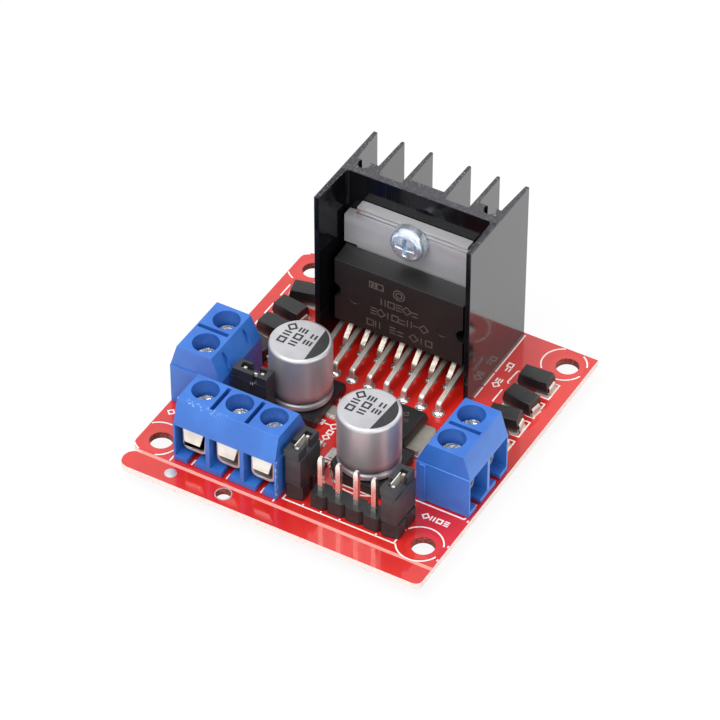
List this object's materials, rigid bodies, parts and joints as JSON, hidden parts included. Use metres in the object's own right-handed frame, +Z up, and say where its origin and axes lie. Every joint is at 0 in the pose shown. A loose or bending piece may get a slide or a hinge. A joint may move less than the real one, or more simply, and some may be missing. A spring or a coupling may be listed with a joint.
{
  "type": "dc motor driver module",
  "caption": "Square circuit board with a finned heatsink behind a power chip, screw terminals, pin headers with jumper caps and two can capacitors.",
  "frame": {"origin": "middle of the bounding box on the plane that the soldered tails rest on", "axes": "+X to the right, +Y to the heatsink's side, +Z up out of the board"},
  "size_m": [0.0438, 0.0472, 0.0282],
  "materials": {
    "red_board": "glossy solder mask",
    "black_anodised": "black anodised",
    "screw_zinc": "zinc plated",
    "chip_epoxy": "moulded epoxy",
    "tab_nickel": "satin nickel",
    "lead_tin": "tin plated",
    "blue_plastic": "moulded, half gloss",
    "clamp_nickel": "nickel plated brass",
    "clamp_screw_zinc": "zinc plated",
    "header_plastic": "moulded",
    "cap_plastic": "moulded",
    "can_aluminium": "satin",
    "foot_plastic": "moulded",
    "diode_epoxy": "moulded epoxy",
    "regulator_epoxy": "moulded epoxy",
    "regulator_tin": "tin plated",
    "indicator_resin": "clear resin",
    "resistor_ceramic": "ceramic"
  },
  "bodies": {
    "module": {"circuit_board": "red_board", "heatsink": "black_anodised", "heatsink_screw": "screw_zinc", "driver_chip_body": "chip_epoxy", "driver_chip_tab": "tab_nickel", "driver_chip_lead_01": "lead_tin", "driver_chip_lead_02": "lead_tin", "driver_chip_lead_03": "lead_tin", "driver_chip_lead_04": "lead_tin", "driver_chip_lead_05": "lead_tin", "driver_chip_lead_06": "lead_tin", "driver_chip_lead_07": "lead_tin", "driver_chip_lead_08": "lead_tin", "driver_chip_lead_09": "lead_tin", "driver_chip_lead_10": "lead_tin", "driver_chip_lead_11": "lead_tin", "driver_chip_lead_12": "lead_tin", "driver_chip_lead_13": "lead_tin", "driver_chip_lead_14": "lead_tin", "driver_chip_lead_15": "lead_tin", "power_terminal_housing": "blue_plastic", "right_output_terminal_housing": "blue_plastic", "left_output_terminal_housing": "blue_plastic", "terminal_clamp_1": "clamp_nickel", "terminal_clamp_2": "clamp_nickel", "terminal_clamp_3": "clamp_nickel", "terminal_clamp_4": "clamp_nickel", "terminal_clamp_5": "clamp_nickel", "terminal_clamp_6": "clamp_nickel", "terminal_clamp_7": "clamp_nickel", "input_header": "header_plastic", "left_enable_header": "header_plastic", "right_enable_header": "header_plastic", "supply_jumper_header": "header_plastic", "left_capacitor_can": "can_aluminium", "right_capacitor_can": "can_aluminium", "left_capacitor_base": "foot_plastic", "right_capacitor_base": "foot_plastic", "diode_1": "diode_epoxy", "diode_2": "diode_epoxy", "diode_3": "diode_epoxy", "diode_4": "diode_epoxy", "diode_5": "diode_epoxy", "diode_6": "diode_epoxy", "diode_7": "diode_epoxy", "diode_8": "diode_epoxy", "regulator_body": "regulator_epoxy", "regulator_tab": "regulator_tin", "indicator_led": "indicator_resin", "resistor": "resistor_ceramic"},
    "clamp_screw_1": {"terminal_screw_1": "clamp_screw_zinc"},
    "clamp_screw_2": {"terminal_screw_2": "clamp_screw_zinc"},
    "clamp_screw_3": {"terminal_screw_3": "clamp_screw_zinc"},
    "clamp_screw_4": {"terminal_screw_4": "clamp_screw_zinc"},
    "clamp_screw_5": {"terminal_screw_5": "clamp_screw_zinc"},
    "clamp_screw_6": {"terminal_screw_6": "clamp_screw_zinc"},
    "clamp_screw_7": {"terminal_screw_7": "clamp_screw_zinc"},
    "left_enable_jumper": {"left_enable_cap": "cap_plastic"},
    "right_enable_jumper": {"right_enable_cap": "cap_plastic"},
    "supply_jumper": {"supply_jumper_cap": "cap_plastic"}
  },
  "joints": [
    {"name": "screw_1_turn", "type": "hinge", "parent": "module", "child": "clamp_screw_1", "pos_m": [-0.01326, -0.01555, 0.0093], "axis": [0, 0, 1], "continuous": true},
    {"name": "screw_2_turn", "type": "hinge", "parent": "module", "child": "clamp_screw_2", "pos_m": [-0.00826, -0.01555, 0.0093], "axis": [0, 0, 1], "continuous": true},
    {"name": "screw_3_turn", "type": "hinge", "parent": "module", "child": "clamp_screw_3", "pos_m": [-0.00326, -0.01555, 0.0093], "axis": [0, 0, 1], "continuous": true},
    {"name": "screw_4_turn", "type": "hinge", "parent": "module", "child": "clamp_screw_4", "pos_m": [0.0176, -0.00788, 0.0093], "axis": [0, 0, 1], "continuous": true},
    {"name": "screw_5_turn", "type": "hinge", "parent": "module", "child": "clamp_screw_5", "pos_m": [0.0176, -0.00287, 0.0093], "axis": [0, 0, 1], "continuous": true},
    {"name": "screw_6_turn", "type": "hinge", "parent": "module", "child": "clamp_screw_6", "pos_m": [-0.01785, -0.00298, 0.0093], "axis": [0, 0, 1], "continuous": true},
    {"name": "screw_7_turn", "type": "hinge", "parent": "module", "child": "clamp_screw_7", "pos_m": [-0.01785, -0.00797, 0.0093], "axis": [0, 0, 1], "continuous": true},
    {"name": "left_enable_pull", "type": "slide", "parent": "module", "child": "left_enable_jumper", "axis": [0, 0, 1], "range_m": [0, 0.0053]},
    {"name": "right_enable_pull", "type": "slide", "parent": "module", "child": "right_enable_jumper", "axis": [0, 0, 1], "range_m": [0, 0.0053]},
    {"name": "supply_pull", "type": "slide", "parent": "module", "child": "supply_jumper", "axis": [0, 0, 1], "range_m": [0, 0.0053]}
  ]
}
